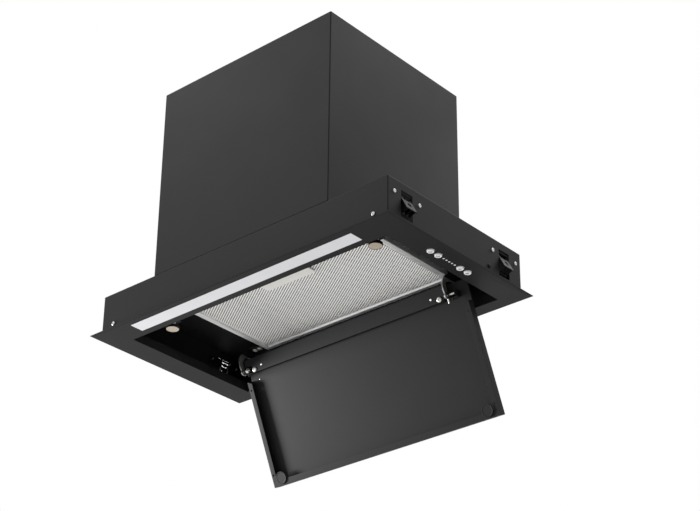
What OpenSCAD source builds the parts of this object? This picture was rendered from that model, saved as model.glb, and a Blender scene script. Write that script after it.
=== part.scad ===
// Built-in canopy range hood with a drop-down perimeter panel, in millimetres.
// Origin: centre of the cabinet cut-out, on the upper face of the flange.
// +Z up, -Y towards the cook (lamp side), +Y towards the wall, +X control side.
// The perimeter panel is drawn hanging open, as it is at rest.

/* [Flange] */
// How far the flange stands out past the housing at the sides
flange_side = 12; // [8:1:60]
// How far the flange stands out past the housing at front and back
flange_front = 13; // [8:1:40]
// Thickness of the folded flange edge
flange_t = 2; // [1.6:0.1:3]
// Width of the bevel along the flange edge
bevel_w = 3; // [1:0.5:5]
// Distance of the intake opening from the housing's side walls
opening_side = 33; // [32:0.5:36]
// Distance of the intake opening from the housing's front wall
opening_front = 36; // [36:0.5:42]
// Distance of the intake opening from the housing's rear wall
opening_rear = 14; // [13:0.5:18]
// Height of the turned-up rim round the opening
rim_h = 13; // [10:0.5:16]

/* [Housing] */
// Thickness of the sheet steel
sheet = 1; // [0.8:0.1:1.2]
// Width of the lower housing
body_w = 576; // [470:1:860]
// Depth of the lower housing
body_d = 304; // [250:1:400]
// Height of the lower housing
body_h = 68; // [64:1:80]
// Width of the upper housing
tower_w = 354; // [320:1:380]
// Height of the upper housing
tower_h = 327; // [315:1:360]
// Corner radius of the folded housings
fold_r = 1.6; // [1.2:0.1:2.5]
// Outer radius of the duct spigot
duct_r = 74.5; // [60:0.5:75]
// Height of the duct spigot
duct_h = 40; // [36:1:60]

/* [Lamp and buttons] */
// Distance of the lamp strip's ends from the housing's side walls
lamp_side = 66.5; // [60:0.5:120]
// Depth of the lamp strip
lamp_d = 24; // [18:0.5:24]
// Gap between the lamp strip and the intake opening
lamp_gap = 12.5; // [11:0.5:14]
// Radius of a push button
button_r = 6.5; // [5:0.1:7]
// Travel of a push button
button_travel = 1.2; // [0.8:0.1:1.4]
// Distance of the button row from the housing's side wall
button_inset = 14.5; // [13.5:0.1:15]
// Middle of the inner buttons, from the middle of the row
button_in_y = 25; // [22:0.1:28]
// Middle of the outer buttons, from the middle of the row
button_out_y = 42.2; // [40:0.1:48]
// Spacing of the five indicator lenses
lens_pitch = 6.35; // [5:0.05:7]

/* [Perimeter panel] */
// Gap between panel and opening at the sides
panel_gap_x = 30; // [28:0.5:40]
// Gap between panel and opening at front and back
panel_gap_y = 22.5; // [20:0.5:26]
// Depth of the panel tray
tray_h = 12; // [10:0.5:13]
// Width of the tray's return lips
lip_w = 8.5; // [6:0.5:10]
// How far the closed panel sits above the flange's underside
panel_recess = 1; // [0.5:0.5:2]
// Opening angle of the panel
panel_open = 114; // [80:1:118]
// Distance of the pivot from the panel's rear edge
pivot_inset = 16.5; // [15:0.5:20]

/* [Grease filter] */
// Distance of the grease filter from the sides of the opening
filter_side = 67.5; // [64:0.5:80]
// Distance of the grease filter from the opening's front edge
filter_front = 10; // [9:0.5:12]
// Distance of the grease filter from the opening's rear edge
filter_rear = 22; // [20:0.5:26]
// Thickness of the grease filter
filter_h = 10; // [9:0.5:12]
// Space between the grease filter and the housing's ceiling
filter_space = 10; // [9:0.5:13]
// Width of the filter's frame face
filter_frame_w = 13; // [10:0.5:18]
// How far the filter's front edge drops when it is taken out
filter_drop = 28; // [10:1:30]
// Travel of the filter latch
latch_travel = 6; // [5:0.5:8]

/* [Cabinet clips] */
// Middle of a clip, from the housing's front or rear wall
clip_inset = 40.7; // [38:0.1:46]
// Width of a clip's slot
slot_w = 24.4; // [22:0.1:28]
// Height of a clip's slot
slot_h = 42.5; // [40:0.5:44]
// How far a clip's tip stands out of the wall
clip_out = 9.5; // [6:0.5:10]

/* [Blower] */
// Gap between the wheel and the narrowest part of its casing
wheel_gap = 8; // [6:1:14]
// Width of the blower wheel
wheel_w = 90; // [80:1:110]
// Number of blades round the wheel
blades = 32; // [24:1:40]

/* [Hidden] */
$fn = 48;

// Clearances
gap = 0.3;
run = 0.05;

// Sizes and places that follow from the sizes above
flange_w = body_w + 2 * flange_side;
flange_d = body_d + 2 * flange_front;
opening_w = body_w - 2 * opening_side;
opening_d = body_d - opening_front - opening_rear;
opening_y = (opening_front - opening_rear) / 2;
filter_w = opening_w - 2 * filter_side;
filter_d = opening_d - filter_front - filter_rear;
lamp_w = body_w - 2 * lamp_side;
clip_y = body_d / 2 - clip_inset;
under_z = -flange_t;
open_front = opening_y - opening_d / 2;
open_rear = opening_y + opening_d / 2;
ceiling_z = body_h - sheet;
filter_z = ceiling_z - filter_space - filter_h;
tower_top = body_h + tower_h;
wall_x = body_w / 2;
wall_y = body_d / 2;
skirt_h = 22;
skirt_gap = 0.1;
seat_h = 0.4;

// Steel colours
black = [0.16, 0.16, 0.17];
inner_black = [0.07, 0.07, 0.07];
zinc = [0.8, 0.79, 0.75];
alu = [0.72, 0.72, 0.71];
plastic = [0.1, 0.1, 0.11];

// Rectangle with rounded corners, made of squares and circles
module round_rect(w, d, r) {
    square([w - 2 * r, d], center = true);
    square([w, d - 2 * r], center = true);
    for (x = [-1, 1], y = [-1, 1])
        translate([x * (w / 2 - r), y * (d / 2 - r)]) circle(r);
}

module round_box(w, d, h, r) {
    linear_extrude(h) round_rect(w, d, r);
}

// Box given by its lowest corner and its highest corner
module block(low, high) {
    translate(low) cube(high - low);
}

// Cylinder along X from x0 to x1
module rod_x(r, x0, x1) {
    translate([x0, 0, 0]) rotate([0, 90, 0]) cylinder(r = r, h = x1 - x0);
}

// Profile in the YZ plane, given thickness along X
module plate_x(x0, x1) {
    translate([x0, 0, 0]) rotate([90, 0, 90]) linear_extrude(x1 - x0) children();
}

// Copy on both sides of the middle
module both_x() {
    children();
    mirror([1, 0, 0]) children();
}

// Flange: mitred edge, intake opening with rim, lamp window, button holes, and a low
// raised seat that the lower housing stands on
lamp_y = open_front - lamp_gap - lamp_d / 2;
button_x = wall_x - button_inset;
button_ys = [-button_out_y, -button_in_y, button_in_y, button_out_y];
lens_r = 1.6;
hole_gap = 0.2;
bevel_h = 0.75 * flange_t;
skirt_notch = slot_w + 12;
lamp_clear = 0.2;
lamp_end = lamp_w / 2 + 4;

module edge_profile(w) {
    polygon([[-w / 2, 0], [w / 2, 0], [w / 2, bevel_h - flange_t],
             [w / 2 - bevel_w, under_z], [bevel_w - w / 2, under_z], [-w / 2, bevel_h - flange_t]]);
}

module flange_blank() {
    intersection() {
        translate([0, flange_d / 2, 0]) rotate([90, 0, 0])
            linear_extrude(flange_d) edge_profile(flange_w);
        translate([-flange_w / 2, 0, 0]) rotate([90, 0, 90])
            linear_extrude(flange_w) edge_profile(flange_d);
    }
}

module skirt() {
    w = body_w - 2 * (sheet + skirt_gap);
    d = body_d - 2 * (sheet + skirt_gap);
    difference() {
        round_box(w, d, skirt_h, fold_r);
        translate([0, 0, -1]) round_box(w - 2 * sheet, d - 2 * sheet, skirt_h + 2, fold_r / 2);
        for (y = [-1, 1])
            translate([-body_w, y * clip_y - skirt_notch / 2, 4]) cube([2 * body_w, skirt_notch, skirt_h]);
        translate([-lamp_end, -body_d, -1]) cube([2 * lamp_end, body_d, skirt_h + 2]);
    }
}

module flange_frame() {
    color(black) difference() {
        union() {
            flange_blank();
            translate([0, opening_y, -sheet])
                round_box(opening_w + 2 * sheet, opening_d + 2 * sheet, rim_h + sheet, fold_r);
            translate([0, 0, -sheet / 2]) skirt();
            translate([0, 0, -sheet / 2]) difference() {
                round_box(body_w, body_d, seat_h + sheet / 2, fold_r);
                translate([0, 0, -1]) round_box(body_w - 4 * sheet, body_d - 4 * sheet, 4, fold_r / 2);
            }
        }
        translate([0, opening_y, -5]) linear_extrude(rim_h + 10)
            round_rect(opening_w, opening_d, fold_r / 2);
        translate([-lamp_w / 2 - lamp_clear, lamp_y - lamp_d / 2 - lamp_clear, -5])
            cube([lamp_w + 2 * lamp_clear, lamp_d + 2 * lamp_clear, 10]);
        for (y = button_ys)
            translate([button_x, y, -5]) cylinder(r = button_r + hole_gap, h = 10);
        for (i = [-2:2])
            translate([button_x, i * lens_pitch, -5]) cylinder(r = lens_r, h = 10);
        front_screw_places() cylinder(r = screw_r, h = 12, center = true);
        side_screw_places() cylinder(r = screw_r, h = 12, center = true);
    }
}

// Lower housing: four folded walls and the ceiling with its intake hole
intake_w = filter_w - 37;
intake_d = filter_d - 38;
filter_y = open_rear - filter_rear - filter_d / 2;
slot_z = 12.5;

module lower_housing() {
    color(black) difference() {
        translate([0, 0, seat_h]) round_box(body_w, body_d, body_h - seat_h, fold_r);
        translate([0, 0, -1]) round_box(body_w - 2 * sheet, body_d - 2 * sheet, ceiling_z + 1, fold_r / 2);
        translate([0, filter_y, 0]) linear_extrude(body_h + 1) round_rect(intake_w, intake_d, 8);
        for (y = [-1, 1])
            translate([-body_w, y * clip_y - slot_w / 2, slot_z]) cube([2 * body_w, slot_w, slot_h]);
        front_screw_places() cylinder(r = screw_r, h = 12, center = true);
        side_screw_places() cylinder(r = screw_r, h = 12, center = true);
        clip_screw_places() cylinder(r = screw_r, h = 12, center = true);
        tower_screw_places() cylinder(r = screw_r, h = 12, center = true);
    }
    color(black) translate([21 - wall_x, 24, ceiling_z - 0.8]) cylinder(r = 7.5, h = 1);
}

// Upper housing: a tall sleeve with a turned-in foot, and its top plate
foot_w = 14;
top_lip = 12;

module upper_housing() {
    color(black) difference() {
        translate([0, 0, body_h]) round_box(tower_w, body_d, tower_h - sheet, fold_r);
        translate([0, 0, body_h + sheet])
            round_box(tower_w - 2 * sheet, body_d - 2 * sheet, tower_h, fold_r / 2);
        translate([0, 0, body_h - 1])
            round_box(tower_w - 2 * foot_w, body_d - 2 * foot_w, 3, 4);
        tower_screw_places() cylinder(r = screw_r, h = 12, center = true);
    }
}

gland_x = -tower_w / 2 + 45;
gland_y = wall_y - 40;
gland_r = 8;

module top_plate() {
    color(black) difference() {
        union() {
            translate([0, 0, tower_top - sheet]) round_box(tower_w, body_d, sheet, fold_r);
            difference() {
                translate([0, 0, tower_top - top_lip])
                    round_box(tower_w - 2 * sheet - gap, body_d - 2 * sheet - gap, top_lip, fold_r / 2);
                translate([0, 0, tower_top - top_lip - 1])
                    cube([tower_w - 4 * sheet - gap, body_d - 4 * sheet - gap, 2 * top_lip], center = true);
            }
        }
        translate([0, 0, tower_top - 20]) cylinder(r = duct_r - 1, h = 40);
        translate([gland_x, gland_y, tower_top - 20]) cylinder(r = gland_r, h = 40);
        duct_screw_places() cylinder(r = screw_r, h = 12, center = true);
    }
}

// Duct spigot with its non-return flaps
spigot_wall = 1.2;
spigot_base = 1.5;
bead_r = 1.2;
flap_z = tower_top + 14;
spindle_r = 1.5;
flap_t = 1;

module duct_spigot() {
    color(plastic) translate([0, 0, tower_top]) difference() {
        union() {
            cylinder(r = duct_r, h = duct_h);
            cylinder(r = duct_r + 14, h = spigot_base);
            translate([0, 0, 5]) rotate_extrude() translate([duct_r - 0.2, 0]) circle(bead_r, $fn = 20);
        }
        translate([0, 0, -1]) cylinder(r = duct_r - spigot_wall, h = duct_h + 2);
        translate([0, 0, flap_z - tower_top]) rod_x(spindle_r, -duct_r - 5, duct_r + 5);
        translate([0, 0, -tower_top]) duct_screw_places() cylinder(r = screw_r, h = 12, center = true);
    }
}

module flap_spindle() {
    color(zinc) translate([0, 0, flap_z]) rod_x(spindle_r, -duct_r, duct_r);
}

// One half-round flap with two knuckles on the spindle, opening towards +Y
module flap(knuckles) {
    flap_r = duct_r - spigot_wall - 1;
    knuckle_r = 3;
    difference() {
        union() {
            intersection() {
                cylinder(r = flap_r, h = flap_t, center = true);
                translate([-duct_r, knuckle_r + 0.8, -flap_t]) cube([2 * duct_r, duct_r, 2 * flap_t]);
            }
            for (x = knuckles) {
                rod_x(knuckle_r, x, x + 16);
                translate([x, 0, -flap_t / 2]) cube([16, knuckle_r + 2, flap_t]);
            }
        }
        rod_x(spindle_r + run, -duct_r, duct_r);
    }
}

module flap_rear() {
    color(plastic) translate([0, 0, flap_z]) flap([-58, 24]);
}

module flap_front() {
    color(plastic) translate([0, 0, flap_z]) rotate(180) flap([-58, 24]);
}

// Lamp strip: diffuser in the flange window, profile and board above it
module led_diffuser() {
    color([0.86, 0.86, 0.87]) difference() {
        translate([0, lamp_y, under_z - gap])
            linear_extrude(flange_t + gap) square([lamp_w, lamp_d], center = true);
        translate([0, lamp_y, -0.8]) linear_extrude(2) square([lamp_w - 6, lamp_d - 6], center = true);
    }
}

profile_h = 13;
profile_d = lamp_d - 4;
profile_y = lamp_y + 2;
profile_foot = 5;

module led_profile() {
    color(alu) translate([0, profile_y, 0]) difference() {
        union() {
            linear_extrude(profile_h) square([lamp_w, profile_d], center = true);
            translate([-lamp_w / 2 - profile_foot, -profile_d / 2, 0])
                cube([lamp_w + 2 * profile_foot, profile_d + profile_foot, sheet]);
        }
        translate([0, 0, -1]) linear_extrude(profile_h + 1 - sheet)
            square([lamp_w - 2 * sheet, profile_d - 2 * sheet], center = true);
    }
}

module led_board() {
    strip_t = 1.2;
    color("white") translate([0, profile_y, profile_h - sheet - strip_t]) {
        linear_extrude(strip_t) square([lamp_w - 8, 12], center = true);
        for (x = [-13:13])
            translate([x * lamp_w / 28, 0, -0.8]) linear_extrude(1) square(3.5, center = true);
    }
}

// Buttons, their board and the box over them
box_half = button_out_y + 16;
board_z = 12;
switch_h = 4;
plunger_h = 0.5;
collar_r = button_r + 1.2;
box_x0 = opening_w / 2 + sheet + 2;
box_x1 = wall_x - 2 * sheet - skirt_gap - 1;
box_h = 17;

module control_box() {
    color(plastic) difference() {
        block([box_x0, -box_half, 0], [box_x1, box_half, box_h]);
        block([box_x0 + 1.2, 1.2 - box_half, -1], [box_x1 - 1.2, box_half - 1.2, box_h - 1.2]);
    }
}

module control_board() {
    color("darkgreen")
        block([box_x0 + 1.2, 1.5 - box_half, board_z], [box_x1 - 1.2, box_half - 1.5, board_z + 1.6]);
}

module button_switches() {
    color(plastic) for (y = button_ys)
        translate([button_x, y, 0]) {
            translate([-3, -3, board_z - switch_h]) cube([6, 6, switch_h]);
            translate([0, 0, board_z - switch_h - plunger_h]) cylinder(r = 1.6, h = plunger_h + 0.5);
        }
}

// Push button: dished cap, retaining collar and stem
module button(i) {
    proud = 1.5;
    stem_top = board_z - switch_h - plunger_h - button_travel - 0.1;
    color(zinc) translate([button_x, button_ys[i], 0]) {
        difference() {
            translate([0, 0, under_z - proud]) rotate_extrude()
                polygon([[0, 0], [button_r - 0.8, 0], [button_r, 0.8],
                         [button_r, flange_t + proud + 1], [0, flange_t + proud + 1]]);
            translate([0, 0, under_z - proud - 14.3]) sphere(r = 15, $fn = 64);
        }
        translate([0, 0, run]) cylinder(r = collar_r, h = 1);
        translate([0, 0, run]) cylinder(r = 2, h = stem_top - run);
    }
}

module button_1() { button(0); }
module button_2() { button(1); }
module button_3() { button(2); }
module button_4() { button(3); }

module indicator_lenses() {
    color([0.8, 0.82, 0.84]) for (i = [-2:2])
        translate([button_x, i * lens_pitch, 0]) {
            translate([0, 0, under_z - 0.2]) cylinder(r = lens_r - run, h = board_z - under_z + 0.2);
            cylinder(r = lens_r + 0.6, h = 1);
        }
}

// Grease filter: seat under the ceiling, rear hooks, front keeper
seat_w = filter_w - 5;
seat_d = filter_d - 5;
seat_z = filter_z + filter_h + gap;
hinge_bar_r = 1.6;
hinge_bar_y = filter_y + filter_d / 2 + 4;
hinge_bar_z = filter_z + filter_h / 2;
hook_x = filter_w / 2 - 67.5;
hook_xs = [-hook_x, hook_x];
hook_w = 16;

module filter_seat() {
    color(inner_black) translate([0, filter_y, 0]) difference() {
        union() {
            translate([0, 0, seat_z]) round_box(seat_w, seat_d, ceiling_z - seat_z, 2);
            translate([0, 0, ceiling_z - sheet]) round_box(filter_w, seat_d, sheet, 2);
        }
        translate([0, 0, seat_z - 1]) round_box(seat_w - 2 * sheet, seat_d - 2 * sheet, 40, 1);
    }
}

// A hook is half a sleeve round the filter's hinge bar, on a strap from the ceiling
module filter_hooks() {
    sleeve = hinge_bar_r + 1.2;
    color(inner_black) for (x = hook_xs)
        plate_x(x - hook_w / 2, x + hook_w / 2) {
            difference() {
                translate([hinge_bar_y, hinge_bar_z]) circle(sleeve);
                translate([hinge_bar_y, hinge_bar_z]) circle(hinge_bar_r + run);
                translate([hinge_bar_y - 10, hinge_bar_z - 10]) square([10, 20]);
            }
            translate([hinge_bar_y + hinge_bar_r + run, hinge_bar_z])
                square([1.2 - run, ceiling_z - hinge_bar_z]);
            translate([hinge_bar_y + hinge_bar_r + run, ceiling_z - 1.2]) square([12, 1.2]);
        }
}

// Filter frame: a channel round the edge, raised inner bead and rear hinge tabs
bead_w = 4;

module filter_frame() {
    inner_w = filter_w - 2 * filter_frame_w;
    inner_d = filter_d - 2 * filter_frame_w;
    color(alu) {
        translate([0, filter_y, filter_z]) difference() {
            union() {
                translate([0, 0, 1]) round_box(filter_w, filter_d, filter_h - 1, 2.5);
                round_box(inner_w + 2 * bead_w, inner_d + 2 * bead_w, 2, 2);
            }
            translate([0, 0, -1]) round_box(inner_w, inner_d, filter_h + 2, 1.5);
            translate([0, 0, 2]) round_box(filter_w - 2 * sheet - 2, filter_d - 2 * sheet - 2, filter_h - 4, 1.5);
            translate([0, -filter_y, -filter_z]) bolt_slot();
        }
        for (x = hook_xs)
            plate_x(x - hook_w / 2 + 1, x + hook_w / 2 - 1) {
                translate([hinge_bar_y, hinge_bar_z]) circle(hinge_bar_r);
                translate([hinge_bar_y - 4.5, hinge_bar_z - 1]) square([4.5, 2]);
            }
    }
}

// Expanded mesh pack held in the channel, drawn with a coarse diamond pattern
cell_x = 32;
cell_y = 20;
strand = 2.6;

module diamonds() {
    for (i = [-5:5], j = [-5:5], h = [0, 1])
        if (i < 5 || h == 0)
            translate([(i + h / 2) * cell_x, (j + h / 2) * cell_y])
                polygon([[strand - cell_x / 2, 0], [0, cell_y / 2 - strand * 0.6],
                         [cell_x / 2 - strand, 0], [0, strand * 0.6 - cell_y / 2]]);
}

module filter_mesh() {
    w = filter_w - 2 * sheet - 2 - 1;
    d = filter_d - 2 * sheet - 2 - 1;
    color([0.62, 0.62, 0.61]) translate([0, filter_y, filter_z]) difference() {
        translate([0, 0, 2]) linear_extrude(filter_h - 4) square([w, d], center = true);
        translate([0, -filter_y, -filter_z]) bolt_slot();
        translate([0, 0, -1]) linear_extrude(filter_h + 2) intersection() {
            diamonds();
            square([filter_w - 2 * filter_frame_w - 2, filter_d - 2 * filter_frame_w - 2], center = true);
        }
        translate([0, (latch_y0 + latch_y1) / 2 - filter_y, 0])
            cube([latch_w - 9, latch_y1 - latch_y0 - 7 + 2 * latch_travel, 3 * filter_h], center = true);
    }
}

// Latch: pull plate under the filter, with a bolt over the keeper
latch_w = 97;
latch_t = 1.6;
latch_y1 = filter_y - filter_d / 2 + 72.5;
latch_y0 = latch_y1 - 50;
bolt_w = 30;
bolt_z = filter_z + 4;
bolt_reach = 5;

module bolt_slot() {
    block([-bolt_w / 2 - gap, -flange_d, bolt_z - 0.6], [bolt_w / 2 + gap, latch_y0 + 20, bolt_z + 1.5]);
}

module filter_latch() {
    front = filter_y - filter_d / 2;
    color([0.76, 0.74, 0.7]) {
        difference() {
            translate([0, (latch_y0 + latch_y1) / 2, filter_z - latch_t - 0.2])
                round_box(latch_w, latch_y1 - latch_y0, latch_t, 6);
            translate([0, latch_y1 - 14, filter_z - latch_t - 1]) round_box(latch_w - 30, 8, latch_t + 2, 3);
        }
        translate([0, (latch_y0 + latch_y1) / 2 - latch_travel / 2, filter_z - 0.5])
            round_box(latch_w - 24, latch_y1 - latch_y0 - 8 - latch_travel - 4, 4.2, 2);
    }
    color(zinc) block([-bolt_w / 2, front - bolt_reach, bolt_z - 0.3], [bolt_w / 2, latch_y0 + 12, bolt_z + 1.2]);
}

module latch_keeper() {
    front = filter_y - filter_d / 2;
    lip = 4;
    color(inner_black) plate_x(-20, 20) {
        translate([front - bolt_reach - 2.4, bolt_z - 2]) square([1.2, ceiling_z - bolt_z + 2]);
        translate([front - bolt_reach - 2.4, bolt_z - 2]) square([lip + 1.2, 1.2]);
        translate([front - bolt_reach - 12, ceiling_z - 1.2]) square([10, 1.2]);
    }
}

// Perimeter panel, drawn closed and then swung open about its pivot
panel_w = opening_w - 2 * panel_gap_x;
panel_front = open_front + panel_gap_y;
panel_rear = open_rear - panel_gap_y;
panel_z = under_z + panel_recess;
pivot_y = panel_rear - pivot_inset;
pivot_z = panel_z + tray_h - 0.2;
wall_end = panel_rear - 34;
rail_d = 22;
rail_left = -panel_w / 2 + 4;
rail_right = panel_w / 2 - 38;
rail_front = panel_rear - 1 - rail_d;
rail_notch = [13, 12];

module swung_open() {
    translate([0, pivot_y, pivot_z]) rotate([panel_open, 0, 0])
        translate([0, -pivot_y, -pivot_z]) children();
}

module panel_tray() {
    top = panel_z + tray_h;
    color(black) swung_open() difference() {
        union() {
            block([-panel_w / 2, panel_front, panel_z], [panel_w / 2, panel_rear, panel_z + sheet]);
            block([-panel_w / 2, panel_front, panel_z], [panel_w / 2, panel_front + sheet, top]);
            block([-panel_w / 2, panel_front, top - sheet], [panel_w / 2, panel_front + lip_w + 1.5, top]);
            both_x() {
                block([panel_w / 2 - sheet, panel_front, panel_z], [panel_w / 2, wall_end, top]);
                translate([0, 0, top - sheet]) linear_extrude(sheet)
                    polygon([[panel_w / 2, panel_front], [panel_w / 2, wall_end],
                             [panel_w / 2 - lip_w, wall_end - lip_w / 2], [panel_w / 2 - lip_w, panel_front]]);
            }
        }
        for (y = [panel_front + 19.6, wall_end - 15])
            both_x() translate([panel_w / 2 - lip_w / 2, y, top - 3]) cylinder(r = 1.4, h = 6);
    }
}

// Hat-section rail that stiffens the rear edge and carries the hinge leaves
module rail_outline() {
    difference() {
        translate([rail_left, rail_front]) square([rail_right - rail_left, rail_d]);
        translate([rail_left - 1, rail_front - 1]) square([rail_notch[0] + 1, rail_notch[1] + 1]);
        translate([rail_right, rail_front]) rotate(45) square(12, center = true);
    }
}

module hinge_rail() {
    base = panel_z + sheet;
    top = panel_z + tray_h;
    color(black) swung_open() difference() {
        translate([0, 0, base]) linear_extrude(top - base) rail_outline();
        translate([rail_left + rail_notch[0] + sheet, rail_front + sheet, base - 1])
            cube([rail_right - rail_left - rail_notch[0] - 12, rail_d - 2 * sheet, top - base + 1 - sheet]);
        rail_screw_places() cylinder(r = screw_r, h = 30, center = true);
    }
}

// Strike discs that meet the magnets
strike_x = panel_w / 2 - 19.5;
strike_y = panel_front + 12.4;
strike_r = 10;
strike_t = 2;

module panel_strikes() {
    color(black) swung_open() both_x()
        translate([strike_x, strike_y, panel_z + tray_h]) cylinder(r = strike_r, h = strike_t);
}

// Each hinge is the same unit: an arm on its left and a leaf on its right
hinge_xs = [-panel_w / 2 - 2, panel_w / 2 - 34.5];
arm_t = 2;
pin_r = 2;
leaf_x0 = 4;
leaf_x1 = 17;
leaf_t = 1.5;
leaf_d = 9;

module hinge_leaves() {
    base = panel_z + sheet;
    color(zinc) swung_open() for (x = hinge_xs)
        difference() {
            union() {
                block([x + leaf_x0, pivot_y - leaf_d / 2 - 1, base], [x + leaf_x1, pivot_y + 3, base + leaf_t]);
                for (e = [leaf_x0, leaf_x1 - leaf_t])
                    plate_x(x + e, x + e + leaf_t) {
                        translate([pivot_y - 4, base]) square([7, pivot_z - base]);
                        translate([pivot_y - 0.5, pivot_z]) circle(3.5);
                    }
                translate([x + leaf_x0 + 4, pivot_y - leaf_d / 2 - 5, pivot_z - 1.2]) rotate([-90, 0, 0])
                    cylinder(r = 1.2, h = 4);
                block([x + leaf_x0, pivot_y - leaf_d / 2 - 2, base],
                      [x + leaf_x1, pivot_y - leaf_d / 2 - 1, pivot_z]);
            }
            translate([0, pivot_y, pivot_z]) rod_x(pin_r, x, x + leaf_x1 + 5);
        }
}

module pivot_pins() {
    color(zinc) swung_open() translate([0, pivot_y, pivot_z]) for (x = hinge_xs) {
        rod_x(pin_r, x - arm_t / 2 - 2, x + leaf_x1 + 0.5);
        rod_x(3.2, x - arm_t / 2 - 2.2, x - arm_t / 2 - gap);
    }
}

// Gooseneck arm: eye at the pivot, round throat for the panel's edge, foot on the ceiling
neck_in = 12;
neck_out = 21.5;
neck_c = [pivot_y + 10, pivot_z + 16.2];
eye_r = 5.5;
foot_t = 2;
hanger_h = 12;
foot_z = ceiling_z - hanger_h - foot_t;
arm_foot_w = 26;
foot_y = [pivot_y + 5, pivot_y + 23];
foot_screw_y = pivot_y + 15;
foot_screw_xs = [9, 19];
throat = 5;

module bar(a, b, w) {
    d = b - a;
    translate(a) rotate(atan2(d[1], d[0])) translate([0, -w / 2]) square([norm(d), w]);
}

module arm_profile() {
    difference() {
        translate(neck_c) circle(neck_out);
        translate(neck_c) circle(neck_in);
        translate([neck_c[0], neck_c[1] - 50]) square([50, 100]);
        translate([pivot_y + throat, neck_c[1] - 50]) square([50, 50]);
    }
    translate([pivot_y, pivot_z]) circle(eye_r);
    polygon([[neck_c[0] - 1, neck_c[1] + neck_in], [foot_y[1] - 4, neck_c[1] + neck_in],
             [foot_y[1], neck_c[1] + neck_in + 4], [foot_y[1], foot_z + foot_t],
             [foot_y[0], foot_z + foot_t], [foot_y[0], neck_c[1] + neck_out - 3]]);
}

module hinge_arm(x) {
    color(black) difference() {
        union() {
            plate_x(x - arm_t / 2, x + arm_t / 2) arm_profile();
            block([x - arm_t / 2, foot_y[0], foot_z], [x - arm_t / 2 + arm_foot_w, foot_y[1], foot_z + foot_t]);
        }
        translate([0, pivot_y, pivot_z]) rod_x(pin_r + run, x - 10, x + 10);
        for (s = foot_screw_xs) translate([x + s, foot_screw_y, 0]) cylinder(r = screw_r, h = body_h);
    }
}

module hinge_arm_left() { hinge_arm(hinge_xs[0]); }
module hinge_arm_right() { hinge_arm(hinge_xs[1]); }

// Hangers fold down from the ceiling and take the arms' feet
module hinge_hangers() {
    base = foot_z + foot_t;
    color(inner_black) for (x = hinge_xs)
        difference() {
            plate_x(x - arm_t / 2, x - arm_t / 2 + arm_foot_w) {
                translate([foot_y[0], base]) square([foot_y[1] - foot_y[0], 1.5]);
                translate([foot_y[1] - 1.5, base]) square([1.5, ceiling_z - base]);
                translate([foot_y[1] - 1.5, ceiling_z - 1.5]) square([14, 1.5]);
            }
            for (s = foot_screw_xs) translate([x + s, foot_screw_y, 0]) cylinder(r = screw_r, h = body_h);
        }
}

// Magnet catches in front of the opening's edge
catch_z = panel_z + tray_h + strike_t + 0.2;
magnet_t = 5;
catch_r = 11;
catch_top = catch_z + magnet_t + 8;

module catch_brackets() {
    color(black) both_x() plate_x(strike_x - 10, strike_x + 10) {
        translate([open_front, 2]) square([1.5, catch_top + 1.5 - 2]);
        translate([open_front, catch_top]) square([strike_y + 9 - open_front, 1.5]);
    }
}

module catch_magnets() {
    color(zinc) both_x() translate([strike_x, strike_y, catch_z]) {
        difference() {
            cylinder(r = catch_r, h = magnet_t);
            translate([0, 0, -1]) cylinder(r = catch_r - 1, h = 1.5);
        }
        translate([0, 0, 0.4]) cylinder(r = catch_r - 1.6, h = 1);
        cylinder(r = 3, h = catch_top - catch_z);
        translate([0, 0, magnet_t]) cylinder(r = 5, h = 3, $fn = 6);
    }
}

// Sprung cabinet clips: wedge tongues that pivot at the top of their slots
clip_w = 20;
tongue_z = slot_z + slot_h - 10.5;
tongue_x = wall_x - 4;
tongue_drop = 21;
clip_pin_r = 1.5;
tongue_t = 2;

// Profile of a tongue in XZ, about its pin
module tongue_profile() {
    tip = [clip_out + wall_x - tongue_x, -tongue_drop];
    heel = [1.5, -tongue_drop - 7];
    difference() {
        union() {
            circle(clip_pin_r + 1.6);
            polygon([[0, clip_pin_r + 1.6], [tip[0], tip[1] + 1.6], [tip[0], tip[1]],
                     [-1.5, -clip_pin_r - 1.6]]);
            bar(tip + [-0.5, 0.8], heel, tongue_t);
            for (i = [1:4])
                translate(tip + (heel - tip) * i / 5 + [-0.4, -1.3]) rotate(45) square(2, center = true);
        }
        circle(clip_pin_r + run);
    }
}

module tongue() {
    rotate([90, 0, 0]) linear_extrude(clip_w, center = true) tongue_profile();
}

module clip(sx, sy) {
    color(plastic) translate([sx * tongue_x, sy * clip_y, tongue_z]) mirror([sx < 0 ? 1 : 0, 0, 0])
        difference() {
            tongue();
            translate([5.5, 0, 0]) rotate([0, 25, 0]) cylinder(r = 2, h = 60, center = true);
            translate([-1, 0, -2]) cube([8, clip_w - 9, 12], center = true);
        }
}

module clip_front_right() { clip(1, -1); }
module clip_rear_right() { clip(1, 1); }
module clip_front_left() { clip(-1, -1); }
module clip_rear_left() { clip(-1, 1); }

module clip_places() {
    for (sx = [0, 1], sy = [-1, 1])
        mirror([sx, 0, 0]) translate([tongue_x, sy * clip_y, tongue_z]) children();
}

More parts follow.
